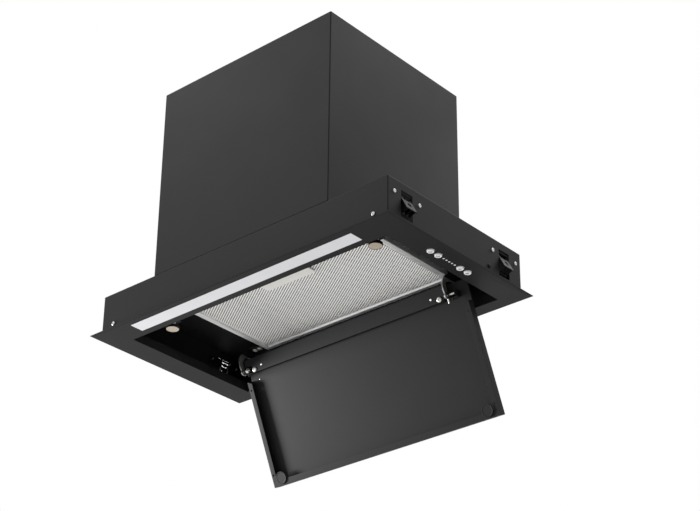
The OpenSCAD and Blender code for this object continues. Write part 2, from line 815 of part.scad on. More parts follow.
// A bracket is a flat plate inside the wall with two ears for the clip's pin
module clip_brackets() {
    inner_x = wall_x - sheet - tongue_x;
    color(inner_black) clip_places() difference() {
        union() {
            block([inner_x - 1.2, -33, -6], [inner_x, 33, 9]);
            for (s = [-1, 1])
                block([-4, s * (clip_w / 2 + 1.6) - 1.2, -6], [inner_x, s * (clip_w / 2 + 1.6) + 1.2, 6]);
        }
        block([inner_x - 5, -clip_w / 2 - 0.4, -8], [inner_x + 5, clip_w / 2 + 0.4, 6]);
        rotate([90, 0, 0]) cylinder(r = clip_pin_r, h = 60, center = true);
        for (s = [-1, 1]) translate([0, s * 27.4, 2.5]) rotate([0, 90, 0])
            cylinder(r = screw_r, h = 30, center = true);
    }
}

module clip_pins() {
    color(zinc) clip_places() rotate([90, 0, 0])
        cylinder(r = clip_pin_r - run, h = clip_w + 6.4, center = true);
}

// Torsion spring: close-wound turns on the clip's pin, with one leg up and one down
wire_r = 0.55;
coil_in = clip_pin_r + 0.15;
coil_turns = 5;
coil_pitch = 2 * wire_r;

module clip_springs() {
    span = coil_turns * coil_pitch;
    leg_x = -coil_in - 1.2 * wire_r;
    color(zinc) clip_places() {
        rotate([90, 0, 0]) difference() {
            union() {
                cylinder(r = coil_in + 1.5 * wire_r, h = span, center = true);
                for (i = [0:coil_turns - 1])
                    translate([0, 0, (i + 0.2) * coil_pitch - span / 2])
                        cylinder(r = coil_in + 2 * wire_r, h = 0.6 * coil_pitch);
            }
            cylinder(r = coil_in, h = span + 2, center = true);
        }
        translate([leg_x, span / 2 - wire_r, 0]) cylinder(r = wire_r / 2, h = 7);
        translate([leg_x, wire_r - span / 2, -7]) cylinder(r = wire_r / 2, h = 7);
    }
}

// Screws: pan heads with a cross recess
screw_r = 1.6;

module screw(length = 6, head = 3.2) {
    difference() {
        union() {
            cylinder(r = head, h = 1.1);
            translate([0, 0, 1.1]) cylinder(r1 = head, r2 = head * 0.6, h = 0.8);
            translate([0, 0, -length]) cylinder(r = screw_r - run, h = length);
        }
        for (a = [0, 90]) rotate(a) translate([-head * 0.55, -0.4, 0.9]) cube([head * 1.1, 0.8, 2]);
    }
}

module front_screw_places() {
    both_x() translate([wall_x - 26, -wall_y, 14]) rotate([90, 0, 0]) children();
}

module side_screw_places() {
    both_x() translate([wall_x, wall_y - 77, 17]) rotate([0, 90, 0]) children();
}

module clip_screw_places() {
    both_x() for (s = [-1, 1], t = [-1, 1])
        translate([wall_x, s * clip_y + t * 27.4, tongue_z + 2.5]) rotate([0, 90, 0]) children();
}

module rail_screw_places() {
    for (x = [rail_left + 18, rail_right - 11])
        translate([x, rail_front + 4.5, panel_z + tray_h]) children();
}

module side_screws() {
    color(zinc) {
        clip_screw_places() screw(5);
        side_screw_places() screw(5);
    }
}

module front_screws() {
    color(zinc) front_screw_places() screw(5);
}

module rail_screws() {
    color(zinc) swung_open() rail_screw_places() screw(9, 4);
}

module rail_rivets() {
    color(zinc) swung_open() for (x = [rail_left + 34, rail_right - 26])
        translate([x, rail_front + 9, panel_z + tray_h]) difference() {
            scale(0.4) sphere(r = 4.5);
            translate([-5, -5, -10]) cube(10);
        }
}

module hinge_screws() {
    color(zinc) for (x = hinge_xs, s = foot_screw_xs)
        translate([x + s, foot_screw_y, foot_z]) rotate([180, 0, 0]) screw(6, 4.6);
}

module tower_screw_places() {
    for (x = [-1, 1], y = [-1, 1])
        translate([x * (tower_w / 2 - 8), y * (wall_y - 32), body_h + sheet]) children();
}

module tower_screws() {
    color(zinc) tower_screw_places() screw(3);
}

module duct_screw_places() {
    translate([0, 0, tower_top + spigot_base]) for (a = [45:90:315])
        rotate(a) translate([duct_r + 9, 0, 0]) children();
}

module duct_screws() {
    color(zinc) duct_screw_places() screw(3, 3);
}

// Blower: spiral casing on the top plate, double-inlet wheel, motor in its left half
axis_z = body_h + 150;
scroll_w = wheel_w + 24;
tongue_step = 10;
scroll_wall = 1.5;
outlet_w = 2 * duct_r - 37;

// Three quarter arcs, each larger than the last, and the outlet duct under the spigot;
// the casing is as large as the upper housing's depth allows
scroll_r0 = (wall_y - sheet - 1 + outlet_w / 2 - 3 * tongue_step) / 2;
scroll_r1 = scroll_r0 + 2 * tongue_step;
outlet_h = tower_top - sheet - axis_z;
wheel_r = scroll_r0 - wheel_gap;
inlet_r = wheel_r - 18;

module spiral(inset) {
    for (i = [0:2])
        intersection() {
            circle(scroll_r0 + i * tongue_step - inset, $fn = 96);
            rotate(90 + 90 * i) translate([-0.01, -0.01]) square([300, 300]);
        }
    translate([scroll_r1 - outlet_w + inset, -0.01])
        square([outlet_w - 2 * inset, outlet_h + (inset > 0 ? 1 : 0)]);
    intersection() {
        circle(scroll_r0 - inset, $fn = 96);
        square([300, 300]);
    }
}

scroll_y = outlet_w / 2 - scroll_r1;

module blower_scroll() {
    color(alu) difference() {
        translate([0, scroll_y, axis_z]) difference() {
            union() {
                plate_x(-scroll_w / 2, scroll_w / 2) spiral(0);
                translate([-scroll_w / 2 - 10, scroll_r1 - outlet_w - 10, outlet_h - 1.5])
                    cube([scroll_w + 20, outlet_w + 20, 1.5]);
            }
            plate_x(-scroll_w / 2 + scroll_wall, scroll_w / 2 - scroll_wall) spiral(scroll_wall);
            rod_x(inlet_r, -scroll_w, scroll_w);
        }
        duct_screw_places() cylinder(r = screw_r, h = 12, center = true);
    }
}

hub_r = 12;
shaft_r = 4;
disc_x = 4;
ring_t = 3;

module blower_wheel() {
    blade_c = wheel_r - 9;
    color(plastic) translate([0, scroll_y, axis_z]) difference() {
        union() {
            rod_x(wheel_r, disc_x - 1, disc_x + 1);
            rod_x(hub_r, disc_x - 8, disc_x + 8);
            for (x = [-wheel_w / 2, wheel_w / 2 - ring_t])
                difference() {
                    rod_x(wheel_r, x, x + ring_t);
                    rod_x(wheel_r - 17, x - 1, x + ring_t + 1);
                }
            plate_x(-wheel_w / 2 + 1, wheel_w / 2 - 1)
                for (i = [0:blades - 1])
                    rotate(i * 360 / blades) translate([blade_c, 0]) rotate(38) blade();
        }
        rod_x(shaft_r, -wheel_w, wheel_w);
    }
}

// Blade: a curved strip cut from a ring
module blade() {
    translate([-4, -11]) intersection() {
        difference() {
            circle(14);
            circle(12.9);
        }
        translate([-3, 4]) square([15, 12]);
    }
}

module blower_shaft() {
    color(zinc) translate([0, scroll_y, axis_z]) rod_x(shaft_r, motor_x1 - 8, disc_x + 14);
}

motor_x0 = -scroll_w / 2 + 4;
motor_x1 = disc_x - 10;
motor_r = 42;

module motor() {
    color(zinc) translate([0, scroll_y, axis_z]) difference() {
        union() {
            rod_x(motor_r, motor_x0 + 4, motor_x1 - 6);
            rod_x(motor_r - 8, motor_x0, motor_x1 - 2);
            rod_x(10, motor_x1 - 4, motor_x1);
        }
        rod_x(shaft_r + run, motor_x1 - 20, motor_x1 + 5);
    }
}

// Spider that carries the motor in the left inlet
module motor_bracket() {
    x1 = motor_x0;
    x0 = x1 - 4 - 1.5;
    color(inner_black) translate([0, scroll_y, axis_z]) {
        rod_x(20, x0, x1);
        for (a = [30, 150, 270])
            rotate([a, 0, 0]) {
                block([x0, -6, 0], [x0 + 1.5, 6, inlet_r + 12]);
                block([x0, -6, inlet_r + 2], [-scroll_w / 2, 6, inlet_r + 12]);
            }
    }
}

// Electronics on the right inner wall of the upper housing
elec_z = body_h + 60;
elec_w = 38;
elec_d = 110;
elec_h = 90;
elec_y = 5;
elec_wall = 2;
can_r = 15;
can_h = 52;

module electronics_box() {
    x1 = tower_w / 2 - sheet;
    color(plastic) translate([x1 - elec_w / 2, elec_y, elec_z + elec_h / 2]) difference() {
        cube([elec_w, elec_d, elec_h], center = true);
        cube([elec_w - 2 * elec_wall, elec_d - 2 * elec_wall, elec_h - 2 * elec_wall], center = true);
    }
}

module capacitor() {
    color("whitesmoke") translate([tower_w / 2 - sheet - elec_w / 2, elec_y, elec_z + elec_h]) {
        cylinder(r = can_r, h = can_h);
        translate([0, 0, can_h]) cylinder(r = can_r / 3, h = 6);
    }
}

module cable_gland() {
    color(plastic) translate([gland_x, gland_y, tower_top]) difference() {
        union() {
            translate([0, 0, -9]) cylinder(r = gland_r - 0.1, h = 12);
            cylinder(r = 12, h = 4, $fn = 6);
            translate([0, 0, 4]) cylinder(r1 = 10, r2 = 8, h = 12);
            translate([0, 0, -sheet - 5]) cylinder(r = 11.5, h = 5, $fn = 6);
        }
        translate([0, 0, -20]) cylinder(r = 4, h = 60);
    }
}

flange_frame();
lower_housing();
upper_housing();
top_plate();
duct_spigot();
flap_spindle();
flap_front();
flap_rear();
led_diffuser();
led_profile();
led_board();
control_box();
control_board();
button_switches();
button_1();
button_2();
button_3();
button_4();
indicator_lenses();
filter_seat();
filter_hooks();
latch_keeper();
filter_frame();
filter_mesh();
filter_latch();
panel_tray();
hinge_rail();
panel_strikes();
hinge_leaves();
pivot_pins();
rail_screws();
rail_rivets();
hinge_arm_left();
hinge_arm_right();
hinge_hangers();
hinge_screws();
catch_brackets();
catch_magnets();
clip_brackets();
clip_pins();
clip_springs();
clip_front_right();
clip_rear_right();
clip_front_left();
clip_rear_left();
side_screws();
front_screws();
blower_scroll();
blower_wheel();
blower_shaft();
motor();
motor_bracket();
electronics_box();
capacitor();
cable_gland();
tower_screws();
duct_screws();
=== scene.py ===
import math

import bmesh
import bpy
from mathutils import Matrix, Vector


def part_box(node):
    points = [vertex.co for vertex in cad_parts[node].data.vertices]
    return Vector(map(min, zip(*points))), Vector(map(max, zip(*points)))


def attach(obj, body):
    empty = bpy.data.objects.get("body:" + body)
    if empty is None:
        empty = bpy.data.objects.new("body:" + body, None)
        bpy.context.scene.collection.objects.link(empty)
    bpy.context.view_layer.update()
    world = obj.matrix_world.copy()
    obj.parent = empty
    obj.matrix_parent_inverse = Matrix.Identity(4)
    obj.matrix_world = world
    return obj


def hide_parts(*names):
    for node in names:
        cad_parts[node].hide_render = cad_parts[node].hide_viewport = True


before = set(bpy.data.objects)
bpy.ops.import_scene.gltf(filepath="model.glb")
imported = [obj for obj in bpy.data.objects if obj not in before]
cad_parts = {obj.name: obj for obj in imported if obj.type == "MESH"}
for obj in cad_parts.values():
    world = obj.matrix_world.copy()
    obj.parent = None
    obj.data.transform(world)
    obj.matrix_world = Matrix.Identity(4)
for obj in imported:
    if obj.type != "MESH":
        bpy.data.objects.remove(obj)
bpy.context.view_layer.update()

MM = 0.001


# Modelling

def only(piece):
    """Makes a piece the one selected object."""
    bpy.ops.object.select_all(action="DESELECT")
    piece.select_set(True)
    bpy.context.view_layer.objects.active = piece


def settle(name, size=(1, 1, 1)):
    """Names the active object, stretches it, and puts its place and size in its mesh."""
    piece = bpy.context.object
    only(piece)
    piece.scale = size
    bpy.ops.object.transform_apply(location=True, rotation=True, scale=True)
    piece.name = piece.data.name = name
    return piece


def block(name, low, high):
    """A box between two corners, in millimetres."""
    low, high = Vector(low) * MM, Vector(high) * MM
    bpy.ops.object.select_all(action="DESELECT")
    bpy.ops.mesh.primitive_cube_add(size=1, location=(low + high) / 2)
    return settle(name, high - low)


def rod(name, start, end, radius, sides=32):
    """A cylinder between two points, in millimetres."""
    start, end = Vector(start) * MM, Vector(end) * MM
    turn = (end - start).to_track_quat("Z", "Y").to_euler()
    bpy.ops.object.select_all(action="DESELECT")
    bpy.ops.mesh.primitive_cone_add(vertices=sides, radius1=radius * MM, radius2=radius * MM,
                                    depth=(end - start).length, location=(start + end) / 2,
                                    rotation=turn)
    return settle(name)


def pick(piece, kind, test):
    """Opens a piece with the verts, edges or faces selected whose middle passes a test.

    The test gets the middle in millimetres, and the vert, edge or face itself.
    """
    only(piece)
    bpy.ops.object.mode_set(mode="EDIT")
    bpy.ops.mesh.select_mode(type={"verts": "VERT", "edges": "EDGE", "faces": "FACE"}[kind])
    bpy.ops.mesh.select_all(action="DESELECT")
    mesh = bmesh.from_edit_mesh(piece.data)
    for item in getattr(mesh, kind):
        ends = [item] if kind == "verts" else list(item.verts)
        middle = sum((end.co for end in ends), Vector()) / len(ends) / MM
        item.select_set(bool(test(middle, item)))
    mesh.select_flush_mode()
    bmesh.update_edit_mesh(piece.data)


def close():
    """Ends the work that a pick began."""
    bpy.ops.object.mode_set(mode="OBJECT")


def extrude(step):
    bpy.ops.mesh.extrude_region_move(TRANSFORM_OT_translate={"value": Vector(step) * MM})


def inset(width, depth=0.0):
    bpy.ops.mesh.inset(thickness=width * MM, depth=depth * MM, use_even_offset=True)


def bevel(width, steps):
    bpy.ops.mesh.bevel(offset=width * MM, segments=steps)


def upright(edge):
    return abs(edge.verts[0].co.z - edge.verts[1].co.z) > 0.5 * MM


def move(step):
    bpy.ops.transform.translate(value=Vector(step) * MM)


def modify(piece, kind, **settings):
    """Adds a modifier and applies it."""
    only(piece)
    made = piece.modifiers.new(kind.lower(), kind)
    for key, value in settings.items():
        setattr(made, key, value)
    bpy.ops.object.modifier_apply(modifier=made.name)


def combine(piece, way, *tools):
    """Cuts shapes from a piece (DIFFERENCE) or fuses them with it (UNION)."""
    for tool in tools:
        modify(piece, "BOOLEAN", operation=way, object=tool, solver="EXACT")
        bpy.data.objects.remove(tool)
    return piece


def gather(name, *pieces):
    """Joins shells that stay separate into one object."""
    bpy.ops.object.select_all(action="DESELECT")
    for piece in pieces:
        piece.select_set(True)
    bpy.context.view_layer.objects.active = pieces[0]
    if len(pieces) > 1:
        bpy.ops.object.join()
    return settle(name)


def copies(piece, places):
    """The piece's copies, one for each matrix, each with its own mesh."""
    made = []
    for place in places:
        twin = bpy.data.objects.new(piece.name, piece.data.copy())
        bpy.context.collection.objects.link(twin)
        twin.data.transform(place)
        if place.determinant() < 0:
            twin.data.flip_normals()
        made.append(twin)
    bpy.data.objects.remove(piece)
    return made


def shift(x, y, z):
    return Matrix.Translation(Vector((x, y, z)) * MM)


def standing(place, axis):
    """Stands a piece that was made on +Z at a place, along an axis."""
    return shift(*place) @ Vector(axis).to_track_quat("Z", "Y").to_matrix().to_4x4()


def rounded(piece, width, steps=2, angle=35):
    """Rounds the sharp edges, then shades the piece so that flat faces stay flat."""
    modify(piece, "BEVEL", width=width * MM, segments=steps, limit_method="ANGLE",
           angle_limit=math.radians(angle))
    return smooth(piece)


def smooth(piece, angle=40):
    """Shades a piece smooth over all edges that are less sharp than an angle."""
    only(piece)
    bpy.ops.object.shade_smooth_by_angle(angle=math.radians(angle))
    modify(piece, "WEIGHTED_NORMAL", keep_sharp=True, weight=80)
    return piece


def corners(node):
    """Lowest and highest corner of a CAD node, in millimetres."""
    return [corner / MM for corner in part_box(node)]


def softened(node, width, name=None):
    """A merged copy of a CAD node with its sharp edges rounded."""
    piece = bpy.data.objects.new(name or node + "_edged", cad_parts[node].data.copy())
    bpy.context.collection.objects.link(piece)
    pick(piece, "verts", lambda at, vert: True)
    bpy.ops.mesh.remove_doubles(threshold=0.02 * MM)
    bpy.ops.mesh.dissolve_limited(angle_limit=math.radians(1))
    close()
    piece.data.name = piece.name
    return rounded(piece, width)


def fit(piece, body, finish, slot, *nodes):
    """Gives a finished piece its material and its body, and hides the CAD nodes it stands for."""
    piece.data.materials.clear()
    piece.data.materials.append(finish)
    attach(piece, body)
    if nodes:
        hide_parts(*nodes)


# Shader nodes

def colour(code):
    """Turns an sRGB hex value into linear RGBA."""
    parts = [int(code[i:i + 2], 16) / 255 for i in (1, 3, 5)]
    return [p / 12.92 if p <= 0.04045 else ((p + 0.055) / 1.055) ** 2.4 for p in parts] + [1.0]


# Sockets of a colour Mix node
FACTOR, FIRST, SECOND, MIXED = 0, 6, 7, 2


def add_node(tree, kind, sockets=None, **settings):
    """Adds a shader node. A socket takes a plain value or another node's output."""
    made = tree.nodes.new(kind)
    for key, value in settings.items():
        setattr(made, key, value)
    for key, value in (sockets or {}).items():
        if isinstance(value, bpy.types.NodeSocket):
            tree.links.new(value, made.inputs[key])
        else:
            made.inputs[key].default_value = value
    return made


def per_mm(size):
    """Scale of a pattern whose cells are this many millimetres across."""
    return 1000 / size


def new_finish(name, base, rough, metal):
    """A named material with its shader's plain values, its shader and the Object coordinates."""
    material = bpy.data.materials.new(name)
    material.use_nodes = True
    material.diffuse_color = colour(base)
    tree = material.node_tree
    shader = tree.nodes["Principled BSDF"]
    shader.inputs["Base Color"].default_value = colour(base)
    shader.inputs["Roughness"].default_value = rough
    shader.inputs["Metallic"].default_value = metal
    place = add_node(tree, "ShaderNodeTexCoord").outputs["Object"]
    return material, tree, shader, place


# Kinds of pattern: soft patches, and crystals that are each one shade
PATCHES, CRYSTALS = "ShaderNodeTexNoise", "ShaderNodeTexVoronoi"


def lay_pattern(tree, place, kind, size, stretch=(1, 1, 1), settings=None):
    """A pattern's 0 to 1 value.

    Its size is in millimetres. A stretch under 1 draws the pattern out along that axis.
    """
    spread = add_node(tree, "ShaderNodeMapping", {"Vector": place, "Scale": stretch})
    made = add_node(tree, kind, {"Vector": spread.outputs["Vector"], "Scale": per_mm(size),
                                 **(settings or {})})
    if kind == PATCHES:
        return made.outputs["Fac"]
    parts = add_node(tree, "ShaderNodeSeparateColor", {"Color": made.outputs["Color"]})
    return parts.outputs["Red"]


def pattern_finish(name, pattern, shades, rough, metal=0.0, relief=None, specular=None):
    """A finish whose shade, gloss and relief follow patterns.

    pattern holds what lay_pattern takes after its place; relief holds such a pattern and its
    depth in millimetres.
    """
    material, tree, shader, place = new_finish(name, shades[1], sum(rough) / 2, metal)
    value = lay_pattern(tree, place, *pattern)
    ends = {FIRST: colour(shades[0]), SECOND: colour(shades[1])}
    shade = add_node(tree, "ShaderNodeMix", {FACTOR: value, **ends}, data_type="RGBA")
    tree.links.new(shade.outputs[MIXED], shader.inputs["Base Color"])
    gloss = add_node(tree, "ShaderNodeMapRange",
                     {"Value": value, "To Min": rough[0], "To Max": rough[1]})
    tree.links.new(gloss.outputs["Result"], shader.inputs["Roughness"])
    if relief:
        height, depth = relief
        bump = add_node(tree, "ShaderNodeBump",
                        {"Height": lay_pattern(tree, place, *height), "Distance": depth * MM})
        tree.links.new(bump.outputs["Normal"], shader.inputs["Normal"])
    if specular is not None:
        shader.inputs["Specular IOR Level"].default_value = specular
    return material


EVEN = (1, 1, 1)
ALONG_X = (0.05, 1, 1)
SOFT = {"Detail": 1.0}
# The fine orange peel that both black coats have
PEEL = ((PATCHES, 1.3, EVEN, {"Detail": 1.5}), 0.006)

# Polyester powder baked on sheet steel: an even matt black with a fine orange peel
COAT = pattern_finish("matt_black_powder_coat", (PATCHES, 60, EVEN, SOFT), ("#141415", "#171718"),
                      (0.46, 0.54), relief=PEEL, specular=0.13)
# The same coat on the parts inside the housing: rougher, and darker as painted shade
COAT_PAINTED_SHADE = pattern_finish("matt_black_coat_painted_shade", (PATCHES, 45, EVEN, SOFT),
                             ("#0f0f10", "#121213"), (0.55, 0.68), relief=PEEL, specular=0.2)
# Bright zinc on steel fasteners: pale and fairly glossy, with a faint cloudy variation
ZINC = pattern_finish("bright_zinc_plated_steel", (PATCHES, 2.5), ("#bab9b5", "#d8d7d2"),
                      (0.24, 0.4), metal=0.8)
# Zinc phosphate on the pressed hinge arms: an even grey sheen with fine press lines
PHOSPHATED = pattern_finish("phosphated_pressed_steel", (PATCHES, 1.6, (1, 1, 0.3)),
                            ("#8c8c8b", "#a4a4a3"), (0.3, 0.42), metal=0.85,
                            relief=((PATCHES, 0.9), 0.004))
# Blackened steel of the small works behind the slots, painted nearly black as painted shade for the
# slots
BLACKENED_AND_SHADED = pattern_finish("blackened_steel_painted_shade", (PATCHES, 1.2), ("#050505", "#0a0a0a"),
                           (0.6, 0.75), specular=0.1)
# Hot dipped sheet: grey metal with spangle a few millimetres wide
GALVANISED = pattern_finish("galvanised_sheet_steel", (CRYSTALS, 7), ("#9a9c9c", "#b8baba"),
                            (0.32, 0.5), metal=1.0)
# Mill finish strip folded to a frame: a soft sheen that darkens with what it faces, and faint
# rolling lines
FRAME_ALU = pattern_finish("rolled_aluminium_frame", (PATCHES, 1.2, ALONG_X, {"Detail": 3.0}),
                           ("#e2e2e2", "#f4f4f4"), (0.34, 0.44), metal=0.85,
                           relief=((PATCHES, 1.2, ALONG_X, SOFT), 0.0008))
# Slit and stretched aluminium foil: its torn, dull faces scatter light, so it is drawn pale and
# hardly metallic
MESH_ALU = pattern_finish("expanded_aluminium_mesh", (PATCHES, 3.0), ("#edeae9", "#f5f3f2"),
                          (0.36, 0.52), metal=0.15)
# The mesh layers behind, seen as one crumpled sheet, its aluminium painted dark as painted shade
# inside the filter
SHADED_LAYER_ALU = pattern_finish("crumpled_aluminium_layers_painted_shade", (PATCHES, 4.5, EVEN, {"Detail": 3.0}),
                           ("#2b2a2a", "#474544"), (0.45, 0.65), metal=1.0,
                           relief=((PATCHES, 2.2), 0.25))
# Extruded aluminium profile: even satin with die lines along its length
PROFILE_ALU = pattern_finish("extruded_aluminium_profile", (PATCHES, 0.8, (0.03, 1, 1)),
                             ("#adadad", "#c4c4c4"), (0.3, 0.42), metal=1.0)
# Injection moulded ABS: spark eroded grain about half a millimetre wide
ABS = pattern_finish("moulded_black_abs", (PATCHES, 0.6), ("#131314", "#1a1a1b"),
                     (0.42, 0.56), relief=((PATCHES, 0.6), 0.01))
# Injection moulded nylon: smooth and nearly black, grey only where it faces the light
NYLON = pattern_finish("moulded_black_nylon", (PATCHES, 0.8), ("#090909", "#0e0e0f"),
                       (0.44, 0.58), relief=((PATCHES, 0.8), 0.006), specular=0.16)
# Opal acrylic over the lamps: pale and satin
ACRYLIC = pattern_finish("frosted_opal_acrylic", (PATCHES, 30, EVEN, SOFT), ("#c3c3c7", "#cbcbcf"),
                         (0.34, 0.42), relief=((PATCHES, 0.5), 0.003))
# Push button caps in satin silver lacquer: bright and even
CAP = pattern_finish("satin_silver_lacquer", (PATCHES, 0.5), ("#d2d3d4", "#dcdddd"), (0.26, 0.36))
# Polycarbonate light pipe: glossy and milky
LENS = pattern_finish("polycarbonate_light_pipe", (PATCHES, 1.0), ("#bfc3c6", "#cfd2d4"),
                      (0.14, 0.22))
# Glass epoxy board under green solder mask, the woven glass just showing
BOARD = pattern_finish("green_glass_epoxy_board", (PATCHES, 0.8, EVEN, {"Detail": 0.0}),
                       ("#184d2d", "#226a3f"), (0.3, 0.42))
# Warm grey satin enamel on the pull plate
ENAMEL = pattern_finish("warm_grey_satin_enamel", (PATCHES, 8), ("#cccac5", "#d7d5d1"),
                        (0.38, 0.48), relief=((PATCHES, 0.9), 0.006))
# Pole plate of a magnet: nickel, slightly warm
POLE = pattern_finish("nickel_plated_pole_plate", (PATCHES, 3), ("#b9ab9b", "#d2c6b7"),
                      (0.3, 0.44), metal=1.0)
# Capacitor can in pale polypropylene
CAN = pattern_finish("pale_polypropylene_can", (PATCHES, 1.0), ("#d2d0c5", "#dedcd3"), (0.44, 0.54))

# CAD nodes that show as they are, or are hidden inside, with their finish
FINISHES = {
    # Parts inside the housing take the black coat darkened as painted shade
    COAT_PAINTED_SHADE: ["hinge_hangers", "filter_seat", "filter_hooks", "latch_keeper", "motor_bracket"],
    # The works behind the clip slots are painted nearly black as painted shade
    BLACKENED_AND_SHADED: ["clip_brackets", "clip_pins", "clip_springs"],
    ZINC: ["flap_spindle", "blower_shaft"],
    GALVANISED: ["blower_scroll", "motor"],
    PROFILE_ALU: ["led_profile"],
    ABS: ["flap_front", "flap_rear", "control_box", "electronics_box", "cable_gland",
          "button_switches", "blower_wheel"],
    LENS: ["indicator_lenses"],
    BOARD: ["led_board", "control_board"],
    CAN: ["capacitor"],
}
for finish, names in FINISHES.items():
    for name in names:
        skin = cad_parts[name].data
        skin.materials.clear()
        skin.materials.append(finish)


# Housings and flange: the folded sheet with its edges rounded

SHEET = 1.0
FOLD = 1.6
SLOT = {"half": 12.2, "low": 12.5, "high": 55.0, "y": 111.3}
# The intake opening is this much smaller than the filter's seat, all round
SEAT_EDGE = 16
# Round emboss near the ceiling's left end
EMBOSS = {"radius": 7.5, "inward": 21, "y": 24, "deep": 0.8}


def lower_housing():
    """A box folded from sheet and open below, with the intake and the clip slots cut in it."""
    low, high = corners("lower_housing")
    shell = block("lower_housing_folded", low, high)
    pick(shell, "faces", lambda at, face: face.normal.z < -0.5)
    bpy.ops.mesh.delete(type="FACE")
    close()
    pick(shell, "edges", lambda at, edge: upright(edge) or at.z > high.z - 0.1)
    bevel(FOLD, 4)
    close()
    modify(shell, "SOLIDIFY", thickness=SHEET * MM, offset=-1)
    seat_low, seat_high = corners("filter_seat")
    cuts = [block("intake", (seat_low.x + SEAT_EDGE, seat_low.y + SEAT_EDGE, high.z - 5),
                  (seat_high.x - SEAT_EDGE, seat_high.y - SEAT_EDGE, high.z + 5))]
    for side in (-1, 1):
        y = side * SLOT["y"]
        cuts.append(block("slot", (low.x - 5, y - SLOT["half"], SLOT["low"]),
                          (high.x + 5, y + SLOT["half"], SLOT["high"])))
    combine(shell, "DIFFERENCE", *cuts)
    rounded(shell, 0.42)
    fit(shell, "hood", COAT, "black_steel", "lower_housing")
    x, y = low.x + EMBOSS["inward"], EMBOSS["y"]
    emboss = rod("ceiling_emboss", (x, y, high.z - SHEET - EMBOSS["deep"]), (x, y, high.z - 0.2),
                 EMBOSS["radius"], 40)
    rounded(emboss, 0.4)
    fit(emboss, "hood", COAT, "black_steel")


def folded_sheets():
    for node, width in (("flange_frame", 0.3), ("upper_housing", 0.45), ("top_plate", 0.4),
                        ("catch_brackets", 0.4)):
        fit(softened(node, width), "hood", COAT, "black_steel", node)
    fit(softened("duct_spigot", 0.25), "hood", ABS, "black_plastic", "duct_spigot")


# Grease filter

# Window in the frame, and the space each mesh diamond takes
WINDOW = ((-183.5, -93), (176, 108.5))
CELL = (6.95, 4.5)
# Half widths of the strands that run to +X -Y, which are stretched flat, and of the crossing ones
STRANDS = (0.92, 0.36)
FOIL = 0.3
MESH_Z = 49.2
LAYERS = {"z": 53.6, "margin": 2.5, "crumple": 2.0, "fold": 6, "thick": 0.8}
# The frame's channel, the rim round it, then the bead and the slope in to the mesh
CHANNEL = {"rear": 116, "lift": 0.6}
RIM = {"left": -192.5, "right": 187, "rear": 118.6, "thick": 1.2, "flat": 6}
BEAD = {"drop": 0.5, "flat": 0.8, "slope": 2.2, "rise": 2.4}
# Tabs on the rear edge that hold the bars the hooks catch
TABS = {"x": 120, "half": 7, "low": 51, "high": 53, "bar": 1.6}
# The latch's pull plate, the core behind it, and the bolt, which has a way cut in the frame
PLATE = {"front": -83.5, "back": -33.5, "thick": 1.6, "corner": 6}
CORE = {"half": 36.5, "front": 7, "back": 12}
BOLT = {"half": 15, "low": 50.7, "back": 12, "clear": 0.3, "chamfer": 1.1}


def expanded_mesh():
    """A slit and stretched diamond and its neighbour, repeated over the window."""
    x0, y0 = WINDOW[0]
    bpy.ops.object.select_all(action="DESELECT")
    bpy.ops.mesh.primitive_circle_add(vertices=4, radius=1, fill_type="NGON",
                                      location=(x0 * MM, y0 * MM, MESH_Z * MM))
    piece = settle("mesh_front", (0.5 * CELL[0] * MM, 0.5 * CELL[1] * MM, 1))
    pick(piece, "faces", lambda at, face: True)
    inset(sum(STRANDS) / 2)
    bpy.ops.mesh.delete(type="FACE")
    close()
    # The hole's corners are moved round, so that the strands of one direction come out wider
    lean = (STRANDS[0] - STRANDS[1]) / 2 * math.hypot(*CELL) / (CELL[0] * CELL[1])
    for way in (-1, 1):
        pick(piece, "verts", lambda at, vert: 0.3 * CELL[0] < (at.x - x0) * way < 0.49 * CELL[0])
        move((0, -way * CELL[1] * lean, 0))
        close()
        pick(piece, "verts", lambda at, vert: 0.2 * CELL[1] < (at.y - y0) * way < 0.49 * CELL[1])
        move((-way * CELL[0] * lean, 0, 0))
        close()
    pair = copies(piece, [shift(0, 0, 0), shift(CELL[0] / 2, CELL[1] / 2, 0)])
    piece = gather("mesh_front", *pair)
    counts = [int((WINDOW[1][way] - WINDOW[0][way]) / CELL[way]) + 1 for way in (0, 1)]
    for count, step in zip(counts, ((CELL[0] * MM, 0, 0), (0, CELL[1] * MM, 0))):
        modify(piece, "ARRAY", count=count, use_relative_offset=False, use_constant_offset=True,
               constant_offset_displace=step)
    pick(piece, "verts", lambda at, vert: True)
    bpy.ops.mesh.remove_doubles(threshold=0.01 * MM)
    close()
    modify(piece, "SOLIDIFY", thickness=FOIL * MM, offset=0)
    return piece


def filter_pack():
    """The mesh, and behind it one crumpled sheet that stands for the other layers, painted dark as
    painted shade.
    """
    fit(expanded_mesh(), "filter", MESH_ALU, "aluminium", "filter_mesh")

    middle = [(WINDOW[0][way] + WINDOW[1][way]) / 2 * MM for way in (0, 1)]
    span = [(WINDOW[1][way] - WINDOW[0][way] + LAYERS["margin"]) * MM for way in (0, 1)]
    bpy.ops.object.select_all(action="DESELECT")
    bpy.ops.mesh.primitive_grid_add(x_subdivisions=88, y_subdivisions=50, size=1,
                                    location=(*middle, LAYERS["z"] * MM))
    layers = settle("mesh_inner_layers", (*span, 1))
    crumple = bpy.data.textures.new("crumple", "CLOUDS")
    crumple.noise_scale = LAYERS["fold"] * MM
    modify(layers, "DISPLACE", texture=crumple, strength=LAYERS["crumple"] * MM, mid_level=0.5,
           texture_coords="LOCAL")
    modify(layers, "SOLIDIFY", thickness=LAYERS["thick"] * MM, offset=0)
    smooth(layers)
    fit(layers, "filter", SHADED_LAYER_ALU, "aluminium")


